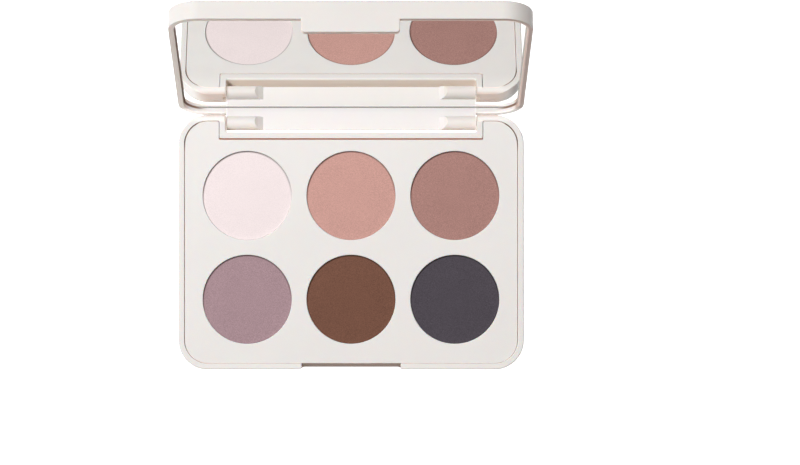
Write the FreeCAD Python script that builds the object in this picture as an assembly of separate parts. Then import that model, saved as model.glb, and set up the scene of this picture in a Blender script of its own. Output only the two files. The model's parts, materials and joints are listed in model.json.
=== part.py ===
import FreeCAD, Part
import math
import os

V = FreeCAD.Vector

# Pans, powder and glue. All sizes are in millimetres and degrees.
pan_columns = 3
pan_rows = 2
pan_diameter = 26.0
pan_height = 4.0
pan_plate = 0.2
pan_bend = 0.6
pan_clearance = 0.05
pan_spacing = 4.35
cake_rise = 0.3
cake_crown = 0.08
cake_edge = 0.1
cake_clearance = 0.02
glue_diameter = 16.0
glue_thickness = 0.15

# Tray
tray_plate = 1.2
well_wall = 1.0
well_floor = 1.0
well_edge = 0.1
tray_edge = 0.1
tray_side_margin = 5.26
tray_front_margin = 5.685
tray_rear_margin = 3.295
cake_drop = 0.4
tray_drop = 0.2
tray_groove = 0.16
front_groove = 0.06
recess_groove = 0.42

# Base
rim_width = 1.75
recess_rim = 1.865
rim_edge = 0.3
rim_inner_edge = 0.12
ledge_width = 1.2
base_floor = 1.2
base_bottom_radius = 5.0
support_height = 0.75
support_radius = 8.0
support_wall = 1.0
case_corner = 8.6
step_corner = 0.5
parting_gap = 0.15

# Lid
open_angle = 108.75
stop_clearance = 0.06
lid_wall = 1.6
lid_rear_wall = 1.9
lid_roof = 1.36
lid_top_edge = 0.6
lid_rim_edge = 0.25
mirror_depth = 1.45
mirror_thickness = 1.3
mirror_clearance = 0.4
mirror_bevel = 0.08
mirror_tape_thickness = 0.12
tape_inset = 2.0
panel_rim = 1.4
panel_clearance = 0.12
panel_tape_thickness = 0.1
panel_drop = 0.1
flute_pitch = 3.91
flute_height = 0.35
flute_web = 0.2
cover_thickness = 0.55
cover_bevel_width = 1.3
cover_bevel_height = 0.2
cover_clearance = 0.02

# Front tab and its catch
tab_width = 27.15
tab_length = 3.9
tab_gap = 0.15
tab_corner = 1.0
tab_edge = 0.25
tab_side_clearance = 0.98
tab_end_clearance = 1.6
notch_edge = 0.25
catch_length = 12.0
catch_height = 0.1
catch_radius = 0.5
catch_clearance = 0.12
catch_below_rim = 2.5

# Hinge
hinge_radius = 2.0
hinge_inset = 2.34
hinge_front_gap = 0.725
hinge_end_gap = 0.15
hinge_end_inset = 13.82
recess_corner = 0.6
recess_edge = 0.15
barrel_length = 8.35
barrel_edge = 0.2
ramp_angle = 45.0
pin_diameter = 1.5
pin_in_barrel = 7.5
pin_in_ear = 1.6
pin_end_clearance = 0.2
pin_clearance = 0.05
lead_in_depth = 1.1
lead_in_end_depth = 0.4
lead_in_clearance = 0.1

# Levels and outlines that follow from the sizes above
over = 1.0
tolerance = 1e-6
well_radius = pan_diameter / 2 + pan_clearance
pan_pitch = 2 * well_radius + pan_spacing
tray_offset = rim_width + tray_groove
tray_front_offset = rim_width + front_groove
recess_depth = hinge_inset + hinge_radius + hinge_front_gap
case_width = pan_columns * pan_pitch - pan_spacing + 2 * (tray_side_margin + tray_offset)
recess_offset = recess_rim + recess_groove
tray_depth = pan_rows * pan_pitch - pan_spacing + tray_front_margin + tray_rear_margin
case_depth = tray_front_offset + tray_depth + recess_offset + recess_depth
side = case_width / 2
rear = case_depth / 2
front = -rear

well_bottom_z = base_floor + support_height
well_floor_z = well_bottom_z + well_floor
pan_z = well_floor_z + glue_thickness
pan_rim_z = pan_z + pan_height
cake_z = pan_rim_z + cake_rise
tray_z = cake_z + cake_drop
rim_z = tray_z + tray_drop
ledge_z = tray_z - tray_plate

lid_z = rim_z + parting_gap
mirror_z = lid_z + mirror_depth
mirror_tape_z = mirror_z + mirror_thickness
roof_z = mirror_tape_z + mirror_tape_thickness
panel_tape_z = roof_z + lid_roof
panel_z = panel_tape_z + panel_tape_thickness
cover_z = panel_z + flute_web + flute_height + cover_clearance
lid_top_z = cover_z + cover_thickness + panel_drop

recess_half = side - hinge_end_inset
bar_half = recess_half - hinge_end_gap
axis_y = rear - hinge_inset
turn = math.radians(open_angle)
lid_rim_over_axis = (hinge_inset * (1 - math.cos(turn)) + stop_clearance) / math.sin(turn)
axis_z = lid_z - lid_rim_over_axis
web_inner_y = rear - lid_rear_wall
pin_radius = pin_diameter / 2
catch_z = rim_z - catch_below_rim
notch_wall_y = front + rim_width
tab_wall_y = notch_wall_y - tab_gap


def rounded_wire(corners, place):
    """A closed wire through corners (a, b, radius), each set in space by place(a, b)."""
    count = len(corners)
    bends = []
    for i in range(count):
        a, b, radius = corners[i]
        here = V(a, b, 0)
        to_last = (V(corners[i - 1][0], corners[i - 1][1], 0) - here).normalize()
        following = corners[(i + 1) % count]
        to_next = (V(following[0], following[1], 0) - here).normalize()
        half = to_last.getAngle(to_next) / 2
        middle = (to_last + to_next).normalize()
        reach = radius / math.tan(half)
        centre = here + middle * (radius / math.sin(half))
        bend = (here + to_last * reach, centre - middle * radius, here + to_next * reach)
        bends.append([place(point.x, point.y) for point in bend])
    edges = []
    for i in range(count):
        start, mid, end = bends[i]
        if corners[i][2] > 0:
            edges.append(Part.Arc(start, mid, end).toShape())
        edges.append(Part.LineSegment(end, bends[(i + 1) % count][0]).toShape())
    return Part.Wire(edges)


def upright(corners, low, high):
    """A prism that stands on a plan outline, from one level to another."""
    wire = rounded_wire(corners, lambda a, b: V(a, b, low))
    return Part.Face(wire).extrude(V(0, 0, high - low))


def along_depth(corners, start, end):
    """A prism with an outline in the front view (x, z), running from one depth to another."""
    wire = rounded_wire(corners, lambda a, b: V(a, start, b))
    return Part.Face(wire).extrude(V(0, end - start, 0))


def rectangle(half_x, low_y, high_y, radius):
    return [
        (-half_x, low_y, radius),
        (half_x, low_y, radius),
        (half_x, high_y, radius),
        (-half_x, high_y, radius),
    ]


def case_outline(offset):
    """The case's plan outline, drawn in by an offset."""
    return rectangle(side - offset, front + offset, rear - offset, case_corner - offset)


def lid_pocket(inset):
    """The plan outline inside the lid's walls, drawn in by an inset."""
    edge = lid_wall + inset
    return rectangle(side - edge, front + edge, web_inner_y - inset, case_corner - edge)


def well_outline(offset, front_offset, recess_step):
    """The plan outline inside the base's rim, which steps round the hinge recess: its offset from the case's
    sides and rear, its offset from the front and its distance in front of the recess."""
    radius = case_corner - offset
    step_x = recess_half + offset
    step_y = rear - recess_depth - recess_step
    return [
        (-side + offset, front + front_offset, radius),
        (side - offset, front + front_offset, radius),
        (side - offset, rear - offset, radius),
        (step_x, rear - offset, step_corner),
        (step_x, step_y, step_corner),
        (-step_x, step_y, step_corner),
        (-step_x, rear - offset, step_corner),
        (-side + offset, rear - offset, radius),
    ]


def rod(radius, start_x, end_x, y, z):
    """A round bar along the width."""
    return Part.makeCylinder(radius, end_x - start_x, V(start_x, y, z), V(1, 0, 0))


def edges_at_level(shape, z):
    """The edges of a shape that lie flat at one level."""
    return [e for e in shape.Edges if max(abs(e.BoundBox.ZMin - z), abs(e.BoundBox.ZMax - z)) < tolerance]


def mirrored(shape):
    """The same shape on the other side of the case's middle."""
    return shape.mirror(V(0, 0, 0), V(1, 0, 0))


def pan_centres():
    """The name and place of each pan, from the rear left to the front right."""
    first_x = -side + tray_offset + tray_side_margin + well_radius
    first_y = front + tray_front_offset + tray_front_margin + well_radius
    columns = ("left", "middle", "right")
    rows = ("front", "rear")
    centres = []
    for row in reversed(range(pan_rows)):
        for column in range(pan_columns):
            name = rows[row] + "_" + columns[column]
            centres.append((name, first_x + column * pan_pitch, first_y + row * pan_pitch))
    return centres


def base_outer_block():
    """The rounded block that the base is hollowed from, with the hinge recess and the relief behind it."""
    block = upright(case_outline(0), 0, rim_z)
    block = block.makeFillet(base_bottom_radius, edges_at_level(block, 0))
    block = block.makeFillet(rim_edge, edges_at_level(block, rim_z))
    block = block.cut(upright(well_outline(rim_width, rim_width, recess_rim), ledge_z, rim_z + over))
    inner_loop = [e for e in edges_at_level(block, rim_z) if is_inside(e, rim_width - rim_inner_edge)]
    block = block.makeFillet(rim_inner_edge, inner_loop)
    room_offset = rim_width + ledge_width
    room = well_outline(room_offset, room_offset, recess_rim + ledge_width)
    return block.cut(upright(room, base_floor, rim_z + over))


def is_inside(edge, offset):
    """Whether an edge lies within the case's outline, drawn in by an offset."""
    box = edge.BoundBox
    reach_x = max(abs(box.XMin), abs(box.XMax))
    reach_y = max(abs(box.YMin), abs(box.YMax))
    return reach_x < side - offset and reach_y < rear - offset


def recess_wire(grow, z):
    """The hinge recess's outline at one level, grown on all sides."""
    half = recess_half + grow
    front_y = rear - recess_depth - grow
    corners = [
        (-half, front_y, recess_corner + grow),
        (half, front_y, recess_corner + grow),
        (half, rear + over, 0),
        (-half, rear + over, 0),
    ]
    return rounded_wire(corners, lambda a, b: V(a, b, z))


def hinge_recess():
    """The gap in the base's rear that the lid's hinge bar turns in, with a bevelled mouth."""
    slot = Part.Face(recess_wire(0, -over)).extrude(V(0, 0, rim_z + 2 * over))
    bevel = [recess_wire(0, rim_z - recess_edge), recess_wire(2 * recess_edge, rim_z + recess_edge)]
    return slot.fuse(Part.makeLoft(bevel, True, True))


def rear_relief():
    """What the lid's rear edge sweeps: all that lies outside a round about the hinge axis."""
    box = Part.makeBox(case_width, hinge_inset + over, rim_z - axis_z + over, V(-side, axis_y, axis_z))
    return box.cut(rod(rim_z - axis_z, -side - over, side + over, axis_y, axis_z))


def notch_wire(grow, y):
    """The front notch's outline at one depth, grown on all sides."""
    half = tab_width / 2 + tab_side_clearance + grow
    floor_z = lid_z - tab_length - tab_end_clearance - grow
    corners = [
        (-half, floor_z, tab_corner + grow),
        (half, floor_z, tab_corner + grow),
        (half, rim_z + over, 0),
        (-half, rim_z + over, 0),
    ]
    return rounded_wire(corners, lambda a, b: V(a, y, b))


def tab_notch():
    """The notch in the base's front that the lid's tab drops into, with a bevelled mouth."""
    slot = Part.Face(notch_wire(0, front)).extrude(V(0, rim_width, 0))
    bevel = [notch_wire(2 * notch_edge, front - notch_edge), notch_wire(0, front + notch_edge)]
    return slot.fuse(Part.makeLoft(bevel, True, True))


def ear_bore():
    """The blind hole in the right ear that a pin turns in, with the ramp that it snaps in over."""
    end_x = recess_half + pin_in_ear + pin_end_clearance
    bore = rod(pin_radius + pin_clearance, recess_half - over, end_x, axis_y, axis_z)
    width = pin_radius + lead_in_clearance
    ramp = Part.makePolygon(
        [
            V(recess_half - over, axis_y, axis_z - width),
            V(recess_half + lead_in_end_depth, axis_y, axis_z - width),
            V(recess_half + lead_in_depth, rear + over, axis_z - width),
            V(recess_half - over, rear + over, axis_z - width),
            V(recess_half - over, axis_y, axis_z - width),
        ]
    )
    return bore.fuse(Part.Face(ramp).extrude(V(0, 0, 2 * width)))


def catch(height, radius, length):
    """A long round ridge that stands out of the notch's wall towards the front by its height."""
    return rod(radius, -length / 2, length / 2, notch_wall_y - height + radius, catch_z)


def make_base_shell():
    shell = base_outer_block().cut(hinge_recess())
    shell = shell.cut(rear_relief())
    shell = shell.cut(tab_notch())
    bore = ear_bore()
    shell = shell.cut(bore).cut(mirrored(bore))
    for name, x, y in pan_centres():
        outer = Part.makeCylinder(support_radius, support_height, V(x, y, base_floor))
        inner = Part.makeCylinder(support_radius - support_wall, support_height, V(x, y, base_floor))
        shell = shell.fuse(outer.cut(inner))
    ridge = catch(catch_height, catch_radius, catch_length)
    ridge_room = Part.makeBox(catch_length, rim_width, 2 * catch_radius,
                              V(-catch_length / 2, front, catch_z - catch_radius))
    backing = Part.makeBox(catch_length, ledge_width / 2, 2 * catch_radius,
                           V(-catch_length / 2, notch_wall_y, catch_z - catch_radius))
    return shell.fuse(ridge.common(ridge_room.fuse(backing))).removeSplitter()


def make_pan_tray():
    outline = well_outline(tray_offset, tray_front_offset, recess_offset)
    tray = upright(outline, ledge_z, tray_z)
    tray = tray.makeFillet(tray_edge, edges_at_level(tray, tray_z))
    centres = pan_centres()
    for name, x, y in centres:
        tray = tray.fuse(Part.makeCylinder(well_radius + well_wall, tray_z - tray_drop - well_bottom_z,
                                           V(x, y, well_bottom_z)))
    for name, x, y in centres:
        tray = tray.cut(Part.makeCylinder(well_radius, tray_z, V(x, y, well_floor_z)))
        flare = Part.makeCone(well_radius, well_radius + well_edge, well_edge, V(x, y, tray_z - well_edge))
        tray = tray.cut(flare)
    return tray.removeSplitter()


def make_pan():
    """One drawn pan, standing on its glue at the origin of the plan."""
    outer = Part.makeCylinder(pan_diameter / 2, pan_height, V(0, 0, pan_z))
    outer = outer.makeFillet(pan_bend, edges_at_level(outer, pan_z))
    inner = Part.makeCylinder(pan_diameter / 2 - pan_plate, pan_height, V(0, 0, pan_z + pan_plate))
    inner = inner.makeFillet(pan_bend - pan_plate, edges_at_level(inner, pan_z + pan_plate))
    return outer.cut(inner)


def cake_cap():
    """The part of a cake that stands above its pan's rim: a disc with a round edge and a spherical crown."""
    radius = pan_diameter / 2
    flat = radius - cake_edge
    corner = cake_edge * (1 - math.sqrt(0.5))
    crown_radius = (flat ** 2 + cake_crown ** 2) / (2 * cake_crown)
    crown_fall = crown_radius - math.sqrt(crown_radius ** 2 - (flat / 2) ** 2)
    middle = V(0, 0, cake_z + cake_crown)
    inner = V(flat, 0, cake_z)
    outer = V(radius, 0, cake_z - cake_edge)
    foot = V(radius, 0, pan_rim_z)
    centre = V(0, 0, pan_rim_z)
    profile = [
        Part.LineSegment(centre, foot).toShape(),
        Part.LineSegment(foot, outer).toShape(),
        Part.Arc(outer, V(radius - corner, 0, cake_z - corner), inner).toShape(),
        Part.Arc(inner, V(flat / 2, 0, middle.z - crown_fall), middle).toShape(),
        Part.LineSegment(middle, centre).toShape(),
    ]
    return Part.Face(Part.Wire(profile)).revolve(V(0, 0, 0), V(0, 0, 1), 360)


def make_cake():
    """One powder cake: it fills a pan and covers the pan's rim."""
    radius = pan_diameter / 2 - pan_plate - cake_clearance
    body = Part.makeCylinder(radius, pan_rim_z - pan_z - pan_plate, V(0, 0, pan_z + pan_plate))
    body = body.makeFillet(pan_bend - pan_plate, edges_at_level(body, pan_z + pan_plate))
    return body.fuse(cake_cap()).removeSplitter()


def make_glue_pads():
    pads = []
    for name, x, y in pan_centres():
        pads.append(Part.makeCylinder(glue_diameter / 2, glue_thickness, V(x, y, well_floor_z)))
    return Part.makeCompound(pads)


def hinge_barrel():
    """The round barrel at the right end of the lid's hinge bar, with the ramp at its inner end."""
    ramp_rise = hinge_radius + web_inner_y - axis_y
    ramp_run = ramp_rise / math.tan(math.radians(ramp_angle))
    top_x = bar_half - barrel_length
    foot_x = top_x - ramp_run
    low_z = axis_z - hinge_radius - over
    height = 2 * (hinge_radius + over)
    barrel = rod(hinge_radius, foot_x, bar_half, axis_y, axis_z)
    end_edge = [e for e in barrel.Edges if e.BoundBox.XMin > bar_half - tolerance]
    barrel = barrel.makeFillet(barrel_edge, end_edge)
    behind = Part.makeBox(2 * case_width, hinge_radius + over, height, V(-case_width, web_inner_y, low_z))
    foot = V(foot_x, web_inner_y, low_z)
    top = V(top_x, axis_y - hinge_radius, low_z)
    corner = V(foot_x, axis_y - hinge_radius, low_z)
    wedge = Part.Face(Part.makePolygon([foot, top, corner, foot])).extrude(V(0, 0, height))
    return barrel.cut(behind).cut(wedge)


def hinge_web():
    """The strip of the lid's rear wall that reaches down to the hinge, with a barrel's round end."""
    round_y = rear - hinge_radius
    inset = web_inner_y - round_y
    drop = math.sqrt(hinge_radius ** 2 - inset ** 2)
    middle = math.atan2(drop, inset) / 2
    corner = V(-bar_half, web_inner_y, axis_z - drop)
    outer = V(-bar_half, rear, axis_z)
    inner_top = V(-bar_half, web_inner_y, mirror_z)
    outer_top = V(-bar_half, rear, mirror_z)
    bulge = V(-bar_half, round_y + hinge_radius * math.cos(middle), axis_z - hinge_radius * math.sin(middle))
    edges = [
        Part.LineSegment(inner_top, corner).toShape(),
        Part.Arc(corner, bulge, outer).toShape(),
        Part.LineSegment(outer, outer_top).toShape(),
        Part.LineSegment(outer_top, inner_top).toShape(),
    ]
    return Part.Face(Part.Wire(edges)).extrude(V(2 * bar_half, 0, 0))


def front_tab():
    """The tab that closes over the base's front notch, with the groove of the catch."""
    corners = [
        (-tab_width / 2, lid_z - tab_length, tab_corner),
        (tab_width / 2, lid_z - tab_length, tab_corner),
        (tab_width / 2, mirror_z, 0),
        (-tab_width / 2, mirror_z, 0),
    ]
    tab = along_depth(corners, front, tab_wall_y)
    outer_edges = [e for e in tab.Edges if e.BoundBox.YMax < front + tolerance and e.BoundBox.ZMin < lid_z]
    tab = tab.makeFillet(tab_edge, outer_edges)
    groove_depth = catch_height + catch_clearance
    return tab.cut(catch(groove_depth, catch_radius + catch_clearance, catch_length + 2 * over))


def make_lid_shell():
    shell = upright(case_outline(0), lid_z, lid_top_z)
    shell = shell.makeFillet(lid_top_edge, edges_at_level(shell, lid_top_z))
    shell = shell.makeFillet(lid_rim_edge, edges_at_level(shell, lid_z))
    shell = shell.cut(upright(lid_pocket(0), lid_z - over, roof_z))
    shell = shell.cut(upright(case_outline(panel_rim), panel_tape_z, lid_top_z + over))
    barrel = hinge_barrel()
    shell = shell.fuse([hinge_web(), barrel, mirrored(barrel), front_tab()])
    bore = rod(pin_radius, bar_half - pin_in_barrel, bar_half + over, axis_y, axis_z)
    return shell.cut(bore).cut(mirrored(bore)).removeSplitter()


def make_mirror():
    plate = upright(lid_pocket(mirror_clearance), mirror_z, mirror_tape_z)
    return plate.makeChamfer(mirror_bevel, edges_at_level(plate, mirror_z))


def make_mirror_tape():
    return upright(lid_pocket(mirror_clearance + tape_inset), mirror_tape_z, roof_z)


def make_panel_tape():
    return upright(case_outline(panel_rim + panel_clearance + tape_inset), panel_tape_z, panel_z)


def make_fluted_panel():
    """A sheet with round flutes that run from front to rear, cut to the lid's panel outline."""
    valley_z = panel_z + flute_web
    half_count = math.ceil((side - panel_rim) / flute_pitch)
    reach = half_count * flute_pitch
    edges = []
    for i in range(-half_count, half_count):
        start = V(i * flute_pitch, front, valley_z)
        crest = V((i + 0.5) * flute_pitch, front, valley_z + flute_height)
        end = V((i + 1) * flute_pitch, front, valley_z)
        edges.append(Part.Arc(start, crest, end).toShape())
    below = Part.makePolygon(
        [
            V(reach, front, valley_z),
            V(reach, front, panel_z),
            V(-reach, front, panel_z),
            V(-reach, front, valley_z),
        ]
    )
    sheet = Part.Face(Part.Wire(edges + below.Edges)).extrude(V(0, case_depth, 0))
    return sheet.common(upright(case_outline(panel_rim + panel_clearance), panel_z, cover_z))


def make_clear_cover():
    top_z = cover_z + cover_thickness
    plate = upright(case_outline(panel_rim + panel_clearance), cover_z, top_z)
    return plate.makeChamfer(cover_bevel_height, cover_bevel_width, edges_at_level(plate, top_z))


def make_pin():
    """The right hinge pin: pressed in the barrel, with its end turning in the ear."""
    return rod(pin_radius, bar_half - pin_in_barrel, recess_half + pin_in_ear, axis_y, axis_z)


def opened(shape):
    """The lid's pieces are drawn shut and swung open about the hinge axis."""
    return shape.rotate(V(0, axis_y, axis_z), V(-1, 0, 0), open_angle)


def moved(shape, x, y):
    placed = shape.copy()
    placed.translate(V(x, y, 0))
    return placed


def main():
    os.makedirs("parts", exist_ok=True)
    pieces = {
        "base_shell": make_base_shell(),
        "pan_tray": make_pan_tray(),
        "glue_pads": make_glue_pads(),
    }
    pan = make_pan()
    cake = make_cake()
    for name, x, y in pan_centres():
        pieces["pan_" + name] = moved(pan, x, y)
        pieces["powder_" + name] = moved(cake, x, y)
    pin = make_pin()
    lid_pieces = {
        "lid_shell": make_lid_shell(),
        "mirror": make_mirror(),
        "mirror_tape": make_mirror_tape(),
        "panel_tape": make_panel_tape(),
        "fluted_panel": make_fluted_panel(),
        "clear_cover": make_clear_cover(),
        "hinge_pin_right": pin,
        "hinge_pin_left": mirrored(pin),
    }
    for name, shape in lid_pieces.items():
        pieces[name] = opened(shape)
    for name, shape in pieces.items():
        shape.exportStep("parts/" + name + ".step")
        print(name, len(shape.Solids), round(shape.Volume, 2), shape.isValid())
    print("case", round(case_width, 3), round(case_depth, 3))
    print("rim level", round(rim_z, 3), "lid height", round(lid_top_z - lid_z, 3))
    print("hinge axis", round(axis_y, 4), round(axis_z, 4))


main()
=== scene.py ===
import json
import math

import bmesh
import bpy
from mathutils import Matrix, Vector

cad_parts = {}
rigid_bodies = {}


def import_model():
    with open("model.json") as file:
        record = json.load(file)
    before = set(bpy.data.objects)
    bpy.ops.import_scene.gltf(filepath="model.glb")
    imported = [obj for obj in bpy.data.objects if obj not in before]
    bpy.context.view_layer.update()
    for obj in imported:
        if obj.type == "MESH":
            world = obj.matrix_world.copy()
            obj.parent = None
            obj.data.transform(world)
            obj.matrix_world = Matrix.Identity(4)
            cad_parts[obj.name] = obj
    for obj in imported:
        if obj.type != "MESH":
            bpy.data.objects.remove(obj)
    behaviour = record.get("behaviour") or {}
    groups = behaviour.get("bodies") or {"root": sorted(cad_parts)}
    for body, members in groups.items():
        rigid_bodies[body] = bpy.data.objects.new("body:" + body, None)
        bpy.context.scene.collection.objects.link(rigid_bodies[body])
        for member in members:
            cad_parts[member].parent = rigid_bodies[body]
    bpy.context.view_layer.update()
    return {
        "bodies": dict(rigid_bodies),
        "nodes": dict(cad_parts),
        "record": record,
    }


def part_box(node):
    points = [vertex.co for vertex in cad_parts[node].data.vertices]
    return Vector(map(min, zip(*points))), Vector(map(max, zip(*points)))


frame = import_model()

MM = 0.001

# The photograph's frame: the camera hangs above the case, a little to the right of its middle.
IMAGE_WIDTH = 800
IMAGE_HEIGHT = 465
CASE_MIDDLE_PIXEL = (351.1, 242.1)
CAMERA_HEIGHT = 1026 * MM
CAMERA_RIGHT = 2.5 * MM
CAMERA_REACH = 20.0
PIXELS_PER_METRE_AT_RIM = 3410
SENSOR_WIDTH_MM = 36

# Studio light. A lamp is its bearing (0 is +X, 90 is +Y) and height in degrees, distance in metres and power.
SKY_COLOUR = (1.0, 0.93, 0.88)
SKY_ABOVE = 0.48
SKY_BELOW = 0.06
SKY_FULL_RISE = 0.7
SKY_LEFT = 0.16
PALE_ROOM = 0.32
KEY_COLOUR = (0.97, 1.0, 1.03)
LAMP_SIZE = 0.12
BASE_KEY = (130, 42, 1.2, 12.15)
PANEL_KEY = (130, 42, 1.2, 13.2)
LID_KEY = (142, 62, 1.0, 5.65)
LID_FILL = (205, 14, 0.26, 0.083)
FLOOR_HALF = 2.5
FLOOR_GLOW = 1.2

# The base's outline and levels, and the hinge that the open lid stands on
BASE_LOW, BASE_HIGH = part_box("base_shell")
RIM_LEVEL = BASE_HIGH.z
NOTCH_HALF = 14.6 * MM
TRAY_LOW, TRAY_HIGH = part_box("pan_tray")
TRAY_CORNER = 6.7 * MM
TRAY_POINTS = [point.co for point in frame["nodes"]["pan_tray"].data.vertices]
GROOVE_MIDDLE = 0.08 * MM
GROOVE_HALF = 0.18 * MM
PIN_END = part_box("hinge_pin_right")[1].x
EAR_FACE = PIN_END - 1.6 * MM
LEAD_IN_HALF = 0.9 * MM
TRAY_REAR = max(point.y for point in TRAY_POINTS if abs(point.x) < PIN_END)
BARREL_START = EAR_FACE - 9.6 * MM
BARREL_RADIUS = 2.0 * MM
HINGE = frame["record"]["behaviour"]["joints"][0]
AXIS_Y, AXIS_Z = HINGE["pos_m"][1:]
OPEN_ANGLE = math.radians(HINGE["range_deg"][1] - HINGE["range_deg"][0])


def lid_place(y, z):
    """A point of the open lid, from the hinge axis: along the lid to its front, and out through its top."""
    y = y - AXIS_Y
    z = z - AXIS_Z
    along = -math.cos(OPEN_ANGLE) * y + math.sin(OPEN_ANGLE) * z
    out = math.sin(OPEN_ANGLE) * y + math.cos(OPEN_ANGLE) * z
    return along, out


def lid_points(node):
    """The points of one of the lid's pieces, by their places on the lid."""
    return [lid_place(point.co.y, point.co.z) for point in frame["nodes"][node].data.vertices]


# The lid's pieces, by their places on the lid
MIRROR_FOOT = min(along for along, out in lid_points("mirror"))
MIRROR_FRONT = max(along for along, out in lid_points("mirror"))
MIRROR_FACE = min(out for along, out in lid_points("mirror"))
MIRROR_BACK = max(out for along, out in lid_points("mirror"))
MIRROR_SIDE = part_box("mirror")[1].x
MIRROR_CORNER = 6.6 * MM
MIRROR_EDGE_WIDTH = 1.0 * MM
FOOT_SLOT = 42 * MM
LID_RIM = MIRROR_FACE - 1.45 * MM
LID_TOP = max(out for along, out in lid_points("lid_shell"))
FLUTE_CREST = max(out for along, out in lid_points("fluted_panel"))
FLUTE_HEIGHT = 0.35 * MM
COVER_FOOT = min(along for along, out in lid_points("clear_cover"))
COVER_FRONT = max(along for along, out in lid_points("clear_cover"))
COVER_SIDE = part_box("clear_cover")[1].x
COVER_CORNER = 7.1 * MM
COVER_BEVEL = 1.3 * MM


def rgb(red, green, blue):
    """A colour given as it shows on a screen, from 0 to 255, as the linear values that a shader takes."""
    linear = []
    for value in (red, green, blue):
        part = value / 255
        linear.append(part / 12.92 if part <= 0.04045 else ((part + 0.055) / 1.055) ** 2.4)
    return (*linear, 1.0)


def dimmed(colour, share):
    """The same colour with its light cut to a share."""
    return (*[part * share for part in colour[:3]], 1.0)


# Plastic, with painted light and shade: paler colours painted where light wanders between two pieces, tan and
# brown ones painted where shade falls
WARM_WHITE = rgb(240, 237, 234)
LID_WHITE = rgb(240, 236, 232)
HINGE_PAINTED_LIGHT = rgb(251, 247, 245)
BARREL_PAINTED_LIGHT = rgb(245, 240, 236)
FRONT_RIM_PAINTED_LIGHT = rgb(243, 239, 235)
GROOVE_PAINTED_LIGHT = rgb(252, 238, 231)
CORNER_PAINTED_SHADE = rgb(172, 142, 128)
NOTCH_PAINTED_SHADE = rgb(231, 215, 208)
HOLLOW_PAINTED_SHADE = rgb(205, 188, 173)
EAR_PAINTED_SHADE = rgb(216, 199, 190)
EAR_FACE_PAINTED_SHADE = rgb(142, 134, 130)
BAY_PAINTED_SHADE = rgb(206, 148, 122)
LEFT_RIM_PAINTED_LIGHT = rgb(254, 243, 234)
RIGHT_RIM_PAINTED_SHADE = rgb(208, 181, 169)
SLOT_PAINTED_SHADE = rgb(150, 118, 102)

# Painted light: a faint glow in the narrowest gaps, standing in for light that wanders in
DARK = (0.0, 0.0, 0.0, 1.0)
REAR_GROOVE_GLOW = (0.05, 0.044, 0.04, 1.0)
BAY_GLOW = (0.13, 0.068, 0.046, 1.0)
EAR_GLOW = (0.38, 0.33, 0.29, 1.0)
LEAD_IN_GLOW = (0.16, 0.15, 0.14, 1.0)
REAR_RIM_GLOW = (0.22, 0.20, 0.185, 1.0)
BARREL_GLOW = (0.15, 0.13, 0.12, 1.0)
LIP_GLOW = (0.19, 0.17, 0.155, 1.0)

# Mirror, outer panel and the pieces that lie hidden
SILVER = rgb(242, 242, 241)
HAZY_SILVER = rgb(239, 239, 238)
# Painted light: the mirror made brighter low down and at its foot
LOWER_SILVER_PAINTED_LIGHT = rgb(249, 249, 247)
FOOT_SILVER_PAINTED_LIGHT = rgb(253, 253, 252)
# The glass's ground edge, darkened as painted shade
GROUND_EDGE_AND_SHADE = rgb(150, 146, 143)
FLUTE_PINK = rgb(222, 211, 208)
# Painted shade in the flutes' valleys
VALLEY_PAINTED_SHADE = rgb(207, 188, 185)
CLEAR_WHITE = rgb(250, 246, 245)
GLUE_MILK = rgb(232, 228, 216)
PIN_STEEL = rgb(196, 196, 198)
PAN_METAL = rgb(206, 206, 208)
TABLE_WHITE = rgb(240, 240, 240)
TABLE_GREY = rgb(236, 236, 236)

# Each powder's colour, the colour of its flecks, their share and the contrast of its grain
SHADES = {
    "rear_left": (rgb(244, 231, 231), rgb(252, 245, 244), 0.02, 0.08),
    "rear_middle": (rgb(205, 158, 148), rgb(236, 205, 196), 0.01, 0.22),
    "rear_right": (rgb(172, 130, 122), rgb(214, 184, 176), 0.01, 0.30),
    "front_left": (rgb(169, 141, 147), rgb(208, 192, 196), 0.01, 0.27),
    "front_middle": (rgb(118, 80, 64), rgb(176, 138, 116), 0.01, 0.36),
    "front_right": (rgb(77, 71, 79), rgb(138, 132, 140), 0.01, 0.34),
}


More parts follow.
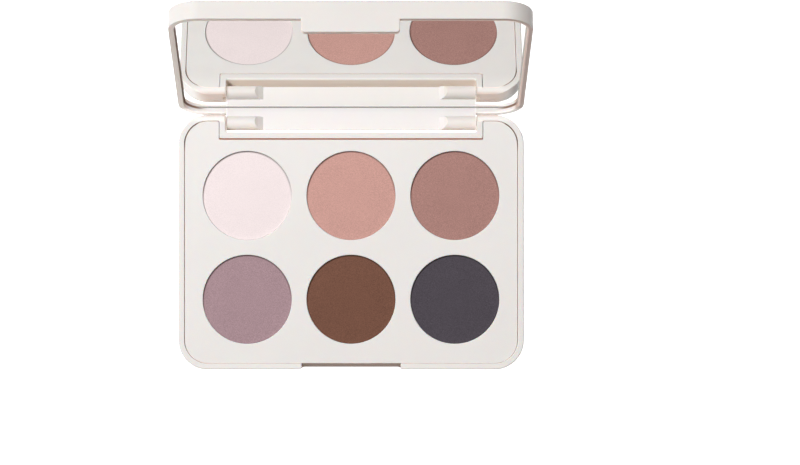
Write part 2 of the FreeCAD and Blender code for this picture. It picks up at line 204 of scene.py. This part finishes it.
class Field:
    """A socket in a material's nodes. Arithmetic on it adds Math nodes, and node() adds any other node."""

    def __init__(self, tree, socket=None):
        self.tree = tree
        self.socket = socket

    def node(self, kind, settings=None, inputs=None, output=0):
        made = self.tree.nodes.new(kind)
        for name, value in (settings or {}).items():
            setattr(made, name, value)
        for name, value in (inputs or {}).items():
            if isinstance(value, Field):
                self.tree.links.new(value.socket, made.inputs[name])
            else:
                made.inputs[name].default_value = value
        return Field(self.tree, made.outputs[output])

    def math(self, operation, a, b=0.0):
        return self.node("ShaderNodeMath", {"operation": operation}, {0: a, 1: b})

    def __add__(self, other):
        return self.math("ADD", self, other)

    def __radd__(self, other):
        return self.math("ADD", other, self)

    def __sub__(self, other):
        return self.math("SUBTRACT", self, other)

    def __rsub__(self, other):
        return self.math("SUBTRACT", other, self)

    def __mul__(self, other):
        return self.math("MULTIPLY", self, other)

    def __rmul__(self, other):
        return self.math("MULTIPLY", other, self)

    def smaller(self, other):
        return self.math("MINIMUM", self, other)

    def larger(self, other):
        return self.math("MAXIMUM", self, other)

    def size(self):
        return self.math("ABSOLUTE", self)

    def root(self):
        return self.math("SQRT", self)

    def xyz(self):
        """The three parts of a vector."""
        split = self.node("ShaderNodeSeparateXYZ", {}, {"Vector": self})
        return [Field(self.tree, output) for output in split.socket.node.outputs]

    def noise(self, scale, detail=2.0, roughness=0.5):
        """Cloudy values about 0.5, with features of about 1 / scale metres."""
        inputs = {"Vector": self, "Scale": scale, "Detail": detail, "Roughness": roughness}
        return self.node("ShaderNodeTexNoise", {}, inputs)

    def between(self, low, high, start=0.0, end=1.0):
        """This value's range from low to high, eased into start to end."""
        return self.node(
            "ShaderNodeMapRange",
            {"interpolation_type": "SMOOTHSTEP"},
            {"Value": self, "From Min": low, "From Max": high, "To Min": start, "To Max": end},
        )

    def fall(self, full, end):
        """1 up to full, eased to 0 at end."""
        return self.between(full, end, 1.0, 0.0)

    def band(self, start, full, fade, end):
        """1 from full to fade, eased to 0 at start and at end."""
        return self.between(start, full) * self.fall(fade, end)

    def blend(self, first, second):
        """The first colour where this value is 0, and the second where it is 1."""
        inputs = {"Factor": self, "A": first, "B": second}
        return self.node("ShaderNodeMix", {"data_type": "RGBA"}, inputs, "Result")


def new_material(name):
    """A material with an empty Principled shader, and the Field of the piece's own coordinates."""
    material = bpy.data.materials.new(name)
    material.use_nodes = True
    tree = material.node_tree
    shader = tree.nodes["Principled BSDF"]
    place = Field(tree).node("ShaderNodeTexCoord", output="Object")
    return material, shader, place


def set_shader(shader, values):
    """Sets or links the shader's sockets."""
    tree = shader.id_data
    for name, value in values.items():
        if isinstance(value, Field):
            tree.links.new(value.socket, shader.inputs[name])
        else:
            shader.inputs[name].default_value = value


def bump(height, distance, strength):
    """A normal from a height field that stands for so many metres."""
    return height.node("ShaderNodeBump", {}, {"Height": height, "Distance": distance, "Strength": strength})


def outside(x, y, half_x, half_y, corner):
    """How far a point lies outside a rectangle with rounded corners."""
    past_x = x.size() - (half_x - corner)
    past_y = y.size() - (half_y - corner)
    corner_x = past_x.larger(0.0)
    corner_y = past_y.larger(0.0)
    round_part = (corner_x * corner_x + corner_y * corner_y).root()
    return round_part + past_x.larger(past_y).smaller(0.0) - corner


def base_looks(place, skin):
    """The colour and glow of base and tray: warm painted light and shade in the groove, the notch and the
    hinge's bay, and on the front rim, rear walls and ears.
    """
    x, y, z = place.xyz()
    aside = x.size()
    past_bay = y - TRAY_REAR
    middle_y = (TRAY_LOW.y + TRAY_HIGH.y) / 2
    past_tray = outside(x, y - middle_y, TRAY_HIGH.x, TRAY_HIGH.y - middle_y, TRAY_CORNER)
    below_rim = z.between(RIM_LEVEL, RIM_LEVEL - 0.06 * MM)

    groove = below_rim * (past_tray - GROOVE_MIDDLE).size().fall(GROOVE_HALF, GROOVE_HALF + 0.1 * MM)
    at_rear = y.between(TRAY_REAR - 4 * MM, TRAY_REAR)
    at_side = aside.between(TRAY_HIGH.x - 4.5 * MM, TRAY_HIGH.x - 3 * MM)
    bay_groove = past_bay.band(-0.05 * MM, 0.02 * MM, 0.45 * MM, 0.57 * MM)
    bay_groove = bay_groove * aside.fall(PIN_END, PIN_END + 0.4 * MM)
    bay_wall = bay_groove * below_rim * past_bay.between(0.1 * MM, 0.2 * MM)
    bay_depth = bay_groove * z.between(RIM_LEVEL - 0.4 * MM, RIM_LEVEL - 0.8 * MM)
    rear_wall = past_bay.between(1.5 * MM, 2.5 * MM) * z.between(RIM_LEVEL - 0.2 * MM, RIM_LEVEL - MM)
    rear_wall = rear_wall * aside.fall(EAR_FACE + 5 * MM, EAR_FACE + 11 * MM)
    ear_face = aside.band(EAR_FACE - 0.05 * MM, EAR_FACE, EAR_FACE + 0.2 * MM, EAR_FACE + 0.4 * MM)
    ear_face = ear_face * below_rim * past_bay.between(2 * MM, 3 * MM)
    lead_in = (z - AXIS_Z).size().fall(LEAD_IN_HALF, LEAD_IN_HALF + 0.3 * MM)
    lead_in = lead_in * y.band(AXIS_Y, AXIS_Y + 0.5 * MM, BASE_HIGH.y - 0.2 * MM, BASE_HIGH.y - 0.1 * MM)
    lead_in = lead_in * x.fall(0.0, MM) * aside.fall(PIN_END, PIN_END + 0.2 * MM) * (1 - ear_face)
    front_rim = y.fall(TRAY_LOW.y - 0.5 * MM, TRAY_LOW.y - 0.2 * MM)
    notch = aside.fall(NOTCH_HALF, NOTCH_HALF + 0.2 * MM)
    notch = notch * y.band(BASE_LOW.y, BASE_LOW.y + 0.6 * MM, TRAY_LOW.y, TRAY_LOW.y + 0.1 * MM)
    notch = notch * z.between(RIM_LEVEL - 0.2 * MM, RIM_LEVEL - 0.6 * MM)

    # Painted light on the front rim
    skin = front_rim.blend(skin, FRONT_RIM_PAINTED_LIGHT)
    # Painted light in the groove round the tray, painted shade in its rear corners
    skin = groove.blend(skin, (at_side * at_rear).blend(GROOVE_PAINTED_LIGHT, CORNER_PAINTED_SHADE))
    # Painted shade on the wall of the groove at the hinge's bay
    skin = bay_wall.blend(skin, BAY_PAINTED_SHADE)
    # Painted shade in the notch under the tab
    skin = notch.blend(skin, NOTCH_PAINTED_SHADE)
    # Painted shade on the rear walls of the hinge's hollow and the ears
    skin = rear_wall.blend(skin, aside.between(EAR_FACE, PIN_END).blend(HOLLOW_PAINTED_SHADE, EAR_PAINTED_SHADE))
    # Painted shade on the ear faces beside the barrels
    skin = ear_face.blend(skin, EAR_FACE_PAINTED_SHADE)

    # Painted light: glow in the rear groove, on the ear faces, in the pins' lead-ins and deep in the bay
    glow = (groove * at_rear * (1 - at_side)).blend(DARK, REAR_GROOVE_GLOW)
    glow = ear_face.blend(glow, EAR_GLOW)
    glow = lead_in.blend(glow, LEAD_IN_GLOW)
    glow = bay_depth.blend(glow, BAY_GLOW)
    return skin, glow


def lid_looks(place, skin):
    """The lid's colour and glow: painted light and shade, with tan painted shade on the right of its rim and
    paler painted light on its left, brown painted shade round the mirror, and palest painted light at the
    hinge and on top.
    """
    x, y, z = place.xyz()
    aside = x.size()
    along, out = lid_place(y, z)
    above_foot = along - MIRROR_FOOT
    middle = (MIRROR_FOOT + MIRROR_FRONT) / 2
    past_mirror = outside(x, along - middle, MIRROR_SIDE, MIRROR_FRONT - middle, MIRROR_CORNER)
    before_face = out.fall(MIRROR_FACE - 0.2 * MM, MIRROR_FACE)
    below_foot = above_foot.fall(2 * MM, 4 * MM)
    lit_side = x.between(0.0, MM) * above_foot.between(3 * MM, 6 * MM)

    rim = before_face * past_mirror.band(0.1 * MM, 0.4 * MM, 1.6 * MM, 1.9 * MM)
    rim = rim * above_foot.between(MM, 5 * MM)
    lip = before_face * lit_side * past_mirror.band(0.2 * MM, 0.35 * MM, 0.7 * MM, 0.9 * MM)
    reach = above_foot.between(4 * MM, 9 * MM, 0.35 * MM, MM)
    slot = (out + reach).between(MIRROR_FACE - 0.2 * MM, MIRROR_FACE + 0.2 * MM)
    slot = slot * out.fall(MIRROR_BACK, MIRROR_BACK + 0.2 * MM)
    slot = slot * past_mirror.size().fall(0.45 * MM, 0.6 * MM)
    slot = slot * aside.between(FOOT_SLOT, FOOT_SLOT + 4 * MM)
    slot = slot * along.fall(MIRROR_FRONT - 7 * MM, MIRROR_FRONT - 6 * MM) * (1 - lit_side)
    hinge = below_foot * above_foot.between(-1.6 * MM, -0.8 * MM) * out.fall(MIRROR_FACE, MIRROR_BACK)
    rear_rim = below_foot * out.fall(LID_RIM + 0.2 * MM, LID_RIM + 0.5 * MM)
    rear_rim = rear_rim * aside.between(EAR_FACE, PIN_END)
    from_axis = (along * along + out * out).root()
    barrel = from_axis.fall(BARREL_RADIUS + 0.03 * MM, BARREL_RADIUS + 0.1 * MM)
    barrel = barrel * aside.band(BARREL_START, BARREL_START + 0.3 * MM, EAR_FACE, PIN_END)
    barrel_end = aside.band(EAR_FACE - 0.5 * MM, EAR_FACE - 0.2 * MM, EAR_FACE - 0.1 * MM, EAR_FACE)
    top = out.between(LID_TOP - 0.6 * MM, LID_TOP - 0.3 * MM) * past_mirror.fall(1.5 * MM, 1.8 * MM)

    # Painted light on the rim's left side, fading to painted shade on its right
    skin = rim.blend(skin, x.between(-MIRROR_SIDE, MIRROR_SIDE).blend(LEFT_RIM_PAINTED_LIGHT, RIGHT_RIM_PAINTED_SHADE))
    # Painted light on the hinge web
    skin = hinge.blend(skin, HINGE_PAINTED_LIGHT)
    # Painted light on the hinge barrels
    skin = barrel.blend(skin, BARREL_PAINTED_LIGHT)
    # Painted shade in the slot round the mirror's sides
    skin = slot.blend(skin, SLOT_PAINTED_SHADE)
    # Painted light on the lid's top
    skin = top.blend(skin, HINGE_PAINTED_LIGHT)

    # Painted light: glow on the rear rim, on the lit side's lip and at the barrels' ends
    glow = rear_rim.blend(DARK, REAR_RIM_GLOW)
    glow = lip.blend(glow, LIP_GLOW)
    glow = (below_foot * barrel_end).blend(glow, BARREL_GLOW)
    return skin, glow


def moulded_plastic(name, colour, grain_size, base_roughness, looks):
    """Warm white moulded plastic: faint flow clouds, a fine eroded grain and a few rubbed patches."""
    material, shader, place = new_material(name)
    clouds = place.noise(40, 3.0)
    rubbed = place.noise(90, 4.0, 0.6)
    grain = place.noise(1 / grain_size, 2.0)
    tint = (clouds * 0.7 + grain * 0.3).between(0.3, 0.7)
    # The looks paint light and shade into the colour, and a painted glow into the emission
    skin, glow = looks(place, tint.blend(dimmed(colour, 0.975), colour))
    set_shader(
        shader,
        {
            "Base Color": skin,
            "Emission Color": glow,
            "Emission Strength": 1.0,
            "Roughness": base_roughness + 0.10 * (rubbed - 0.5) + 0.08 * (grain - 0.5),
            "IOR": 1.5,
            "Subsurface Weight": 0.25,
            "Subsurface Radius": (1.0, 0.5, 0.3),
            "Subsurface Scale": 1.0 * MM,
            "Normal": bump(grain, 0.01 * MM, 0.5),
        },
    )
    return material


def pressed_powder(name, colour, fleck, fleck_share, contrast):
    """Pressed powder: fine pigment grains, a few paler flecks, soft clouds and painted shade at its rear
    edge.
    """
    material, shader, place = new_material(name)
    low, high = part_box(name)
    middle = (low + high) / 2
    x, y, _ = place.xyz()
    right = x - middle.x
    behind = y - middle.y
    past_edge = (right * right + behind * behind).root() - (high.x - middle.x)
    # Painted shade along the rear edge of the cake
    painted_rear_shade = past_edge.between(-0.55 * MM, -0.25 * MM) * behind.between(-2 * MM, 5 * MM)
    clouds = place.noise(160, 3.0)
    grain = place.noise(5200, 3.0, 0.65)
    fine = place.noise(9000, 2.0)
    flecks = place.noise(3600, 1.0).between(0.74 - fleck_share, 0.80 - fleck_share)
    shade = (clouds * 0.08 + grain * 0.92).between(0.25, 0.75)
    body = shade.blend(dimmed(colour, 1 - contrast), dimmed(colour, 1 + contrast))
    body = (painted_rear_shade * 0.7).blend(body, dimmed(colour, 0.45))
    height = grain * 0.7 + fine * 0.3
    set_shader(
        shader,
        {
            "Base Color": (flecks * 0.35).blend(body, fleck),
            "Roughness": 0.82 + 0.16 * fine,
            "Specular IOR Level": 0.25,
            "Sheen Weight": 0.04,
            "Sheen Roughness": 0.6,
            "Normal": bump(height, 0.05 * MM, 0.55),
        },
    )
    return material


def silvered_glass(name):
    """The mirror: bright, with a breath of haze, and painted light that makes it brighter towards its foot.
    Its ground lower edge is grey, with painted shade.
    """
    material, shader, place = new_material(name)
    haze = place.noise(70, 4.0, 0.6).between(0.45, 0.75)
    _, y, z = place.xyz()
    along, _ = lid_place(y, z)
    above_foot = along - MIRROR_FOOT
    # The grey strip at the foot is the ground edge with painted shade
    silver = above_foot.between(MIRROR_EDGE_WIDTH, MIRROR_EDGE_WIDTH + 0.3 * MM)
    # Painted light: brighter silver low on the mirror and at its foot
    bright = above_foot.between(17 * MM, 28 * MM).blend(LOWER_SILVER_PAINTED_LIGHT, haze.blend(SILVER, HAZY_SILVER))
    bright = above_foot.between(1.8 * MM, 3 * MM).blend(FOOT_SILVER_PAINTED_LIGHT, bright)
    set_shader(
        shader,
        {
            "Base Color": silver.blend(GROUND_EDGE_AND_SHADE, bright),
            "Metallic": silver,
            "Roughness": 0.30 - 0.29 * silver + 0.02 * haze,
        },
    )
    return material


def pearl_flutes(name, colour, valley_shade_colour):
    """The pink pearl sheet under the clear cover: tiny bright plates in a satin body, with painted shade in
    its valleys.
    """
    material, shader, place = new_material(name)
    plates = place.node("ShaderNodeTexVoronoi", {}, {"Vector": place, "Scale": 6500}, "Color")
    sparkle = plates.node("ShaderNodeSeparateColor", {}, {"Color": plates}, "Red")
    clouds = place.noise(60, 3.0)
    tint = (clouds * 0.6 + sparkle * 0.4).between(0.2, 0.8)
    _, y, z = place.xyz()
    _, out = lid_place(y, z)
    # Painted shade in the valleys between the flutes
    valley_shade = out.fall(FLUTE_CREST - FLUTE_HEIGHT, FLUTE_CREST - 0.45 * FLUTE_HEIGHT)
    body = tint.blend(dimmed(colour, 0.96), dimmed(colour, 1.02))
    set_shader(
        shader,
        {
            "Base Color": valley_shade.blend(body, valley_shade_colour),
            "Roughness": 0.30 + 0.16 * sparkle,
            "Metallic": 0.10 + 0.10 * sparkle,
            "Coat Weight": 0.3,
            "Coat Roughness": 0.2,
            "Normal": bump(sparkle, 0.006 * MM, 0.4),
        },
    )
    return material


def clear_acrylic(name):
    """The clear cover: see-through, with smears on its polished face and a painted highlight on its bevel all
    round.
    """
    material, shader, place = new_material(name)
    smear = place.noise(120, 4.0, 0.6).between(0.5, 0.8)
    x, y, z = place.xyz()
    along, _ = lid_place(y, z)
    middle = (COVER_FOOT + COVER_FRONT) / 2
    past_cover = outside(x, along - middle, COVER_SIDE, COVER_FRONT - middle, COVER_CORNER)
    # Painted highlight: the bevel made paler all round
    bevel_highlight = past_cover.between(-COVER_BEVEL, -COVER_BEVEL + 0.2 * MM)
    set_shader(
        shader,
        {
            "Base Color": CLEAR_WHITE,
            "Roughness": 0.02 + 0.06 * smear,
            "IOR": 1.49,
            "Alpha": 0.08 + 0.04 * smear + 0.30 * bevel_highlight,
        },
    )
    return material


def brushed_metal(name, colour, roughness, spread):
    """Drawn metal with fine streaks along one axis."""
    material, shader, place = new_material(name)
    stretched = place.node("ShaderNodeMapping", {}, {"Vector": place, "Scale": spread})
    streaks = stretched.noise(1500, 3.0)
    set_shader(
        shader,
        {
            "Base Color": streaks.blend(dimmed(colour, 0.9), colour),
            "Metallic": 1.0,
            "Roughness": roughness + 0.15 * (streaks - 0.5),
            "Normal": bump(streaks, 0.004 * MM, 0.5),
        },
    )
    return material


def tacky_film(name, colour):
    """Glue and adhesive tape: milky, with small wet patches."""
    material, shader, place = new_material(name)
    wet = place.noise(700, 3.0).between(0.4, 0.65)
    set_shader(
        shader,
        {
            "Base Color": wet.blend(colour, dimmed(colour, 0.9)),
            "Roughness": 0.55 - 0.25 * wet,
            "Normal": bump(wet, 0.02 * MM, 0.4),
        },
    )
    return material


def paint(material, *nodes):
    """Gives CAD pieces a finish."""
    for name in nodes:
        slots = frame["nodes"][name].data.materials
        slots.clear()
        slots.append(material)


def dress_case():
    """The finishes of base, tray and lid, and of what holds them together."""
    paint(moulded_plastic("satin_base_plastic", WARM_WHITE, 0.16 * MM, 0.40, base_looks), "base_shell")
    paint(moulded_plastic("satin_lid_plastic", LID_WHITE, 0.16 * MM, 0.40, lid_looks), "lid_shell")
    paint(moulded_plastic("matt_tray_plastic", WARM_WHITE, 0.11 * MM, 0.50, base_looks), "pan_tray")
    paint(silvered_glass("mirror_silver"), "mirror")
    paint(pearl_flutes("pearl_pink_flutes", FLUTE_PINK, VALLEY_PAINTED_SHADE), "fluted_panel")
    paint(clear_acrylic("clear_cover_acrylic"), "clear_cover")
    paint(tacky_film("milky_adhesive", GLUE_MILK), "glue_pads", "mirror_tape", "panel_tape")
    steel = brushed_metal("drawn_pin_steel", PIN_STEEL, 0.28, (0.05, 1.0, 1.0))
    paint(steel, "hinge_pin_left", "hinge_pin_right")


def dress_pans():
    """The finishes of the six pans and their powders."""
    metal = brushed_metal("drawn_pan_metal", PAN_METAL, 0.32, (1.0, 1.0, 0.05))
    for place, shade in SHADES.items():
        paint(metal, "pan_" + place)
        paint(pressed_powder("powder_" + place, *shade), "powder_" + place)


def make_floor():
    """A pale table top that glows a little, as a lit photo table does."""
    shape = bmesh.new()
    bmesh.ops.create_grid(shape, x_segments=1, y_segments=1, size=FLOOR_HALF)
    mesh = bpy.data.meshes.new("floor")
    shape.to_mesh(mesh)
    shape.free()
    floor = bpy.data.objects.new("floor", mesh)
    bpy.context.scene.collection.objects.link(floor)
    material, shader, place = new_material("pale_table")
    fine = place.noise(300, 2.0)
    set_shader(
        shader,
        {
            "Base Color": fine.blend(TABLE_GREY, TABLE_WHITE),
            "Roughness": 0.7,
            "Specular IOR Level": 0.2,
            "Emission Color": (1.0, 1.0, 1.0, 1.0),
            "Emission Strength": FLOOR_GLOW,
        },
    )
    mesh.materials.append(material)
    floor.visible_diffuse = False


def make_sky():
    """Warm soft light from above, stronger from the left. Mirror and gloss see at least a pale room."""
    world = bpy.data.worlds.new("studio")
    bpy.context.scene.world = world
    world.use_nodes = True
    tree = world.node_tree
    direction = Field(tree).node("ShaderNodeTexCoord", output="Generated")
    x, _, z = direction.xyz()
    brightness = (z.between(0.0, SKY_FULL_RISE, SKY_BELOW, SKY_ABOVE) - SKY_LEFT * x).larger(0.0)
    mirrored = direction.node("ShaderNodeLightPath", output="Is Glossy Ray")
    brightness = brightness.larger(PALE_ROOM * mirrored)
    background = tree.nodes["Background"]
    background.inputs["Color"].default_value = (*SKY_COLOUR, 1.0)
    tree.links.new(brightness.socket, background.inputs["Strength"])


def softbox(name, lamp, colour):
    """A square soft light that looks at the case."""
    azimuth, elevation, distance, power = lamp
    turn = math.radians(azimuth)
    rise = math.radians(elevation)
    towards = Vector((math.cos(turn) * math.cos(rise), math.sin(turn) * math.cos(rise), math.sin(rise)))
    data = bpy.data.lights.new(name, "AREA")
    data.size = LAMP_SIZE
    data.energy = power
    data.color = colour
    box = bpy.data.objects.new(name, data)
    box.location = towards * distance
    box.rotation_mode = "QUATERNION"
    box.rotation_quaternion = towards.to_track_quat("Z", "Y")
    box.visible_camera = False
    bpy.context.scene.collection.objects.link(box)
    return box


def light_group(pieces, state):
    """Pieces as a group that a lamp takes in or leaves out."""
    group = bpy.data.collections.new("light_" + state.lower())
    for piece in pieces:
        group.objects.link(piece)
    for member in group.collection_objects:
        member.light_linking.link_state = state
    return group


def make_light():
    """Keys for the base, the lid's shell and its outer panel, and a fill from the left for the shell."""
    make_sky()
    lid = list(frame["bodies"]["lid"].children)
    panel = [frame["nodes"][name] for name in ("fluted_panel", "clear_cover", "panel_tape")]
    shell = [piece for piece in lid if piece not in panel]
    base_key = softbox("key_for_base", BASE_KEY, KEY_COLOUR)
    base_key.light_linking.receiver_collection = light_group(lid, "EXCLUDE")
    panel_key = softbox("key_for_panel", PANEL_KEY, KEY_COLOUR)
    panel_key.light_linking.receiver_collection = light_group(panel, "INCLUDE")
    lid_key = softbox("key_for_lid", LID_KEY, KEY_COLOUR)
    lid_key.light_linking.receiver_collection = light_group(shell, "INCLUDE")
    lid_fill = softbox("fill_for_lid", LID_FILL, SKY_COLOUR)
    lid_fill.light_linking.receiver_collection = light_group(shell, "INCLUDE")
    for box in (base_key, lid_key, lid_fill):
        box.light_linking.blocker_collection = light_group(lid, "EXCLUDE")
    bpy.context.scene.view_settings.view_transform = "Standard"


def make_camera():
    """The camera above the case, looking straight down, with the photograph's framing."""
    data = bpy.data.cameras.new("camera")
    data.sensor_fit = "HORIZONTAL"
    data.sensor_width = SENSOR_WIDTH_MM
    data.lens = SENSOR_WIDTH_MM * PIXELS_PER_METRE_AT_RIM * (CAMERA_HEIGHT - RIM_LEVEL) / IMAGE_WIDTH
    axis_pixel = CASE_MIDDLE_PIXEL[0] + CAMERA_RIGHT * PIXELS_PER_METRE_AT_RIM
    data.shift_x = (IMAGE_WIDTH / 2 - axis_pixel) / IMAGE_WIDTH
    data.shift_y = (CASE_MIDDLE_PIXEL[1] - IMAGE_HEIGHT / 2) / IMAGE_WIDTH
    data.clip_end = CAMERA_REACH
    camera = bpy.data.objects.new("camera", data)
    camera.location = (CAMERA_RIGHT, 0.0, CAMERA_HEIGHT)
    bpy.context.scene.collection.objects.link(camera)
    bpy.context.scene.camera = camera


dress_case()
dress_pans()
make_floor()
make_light()
make_camera()
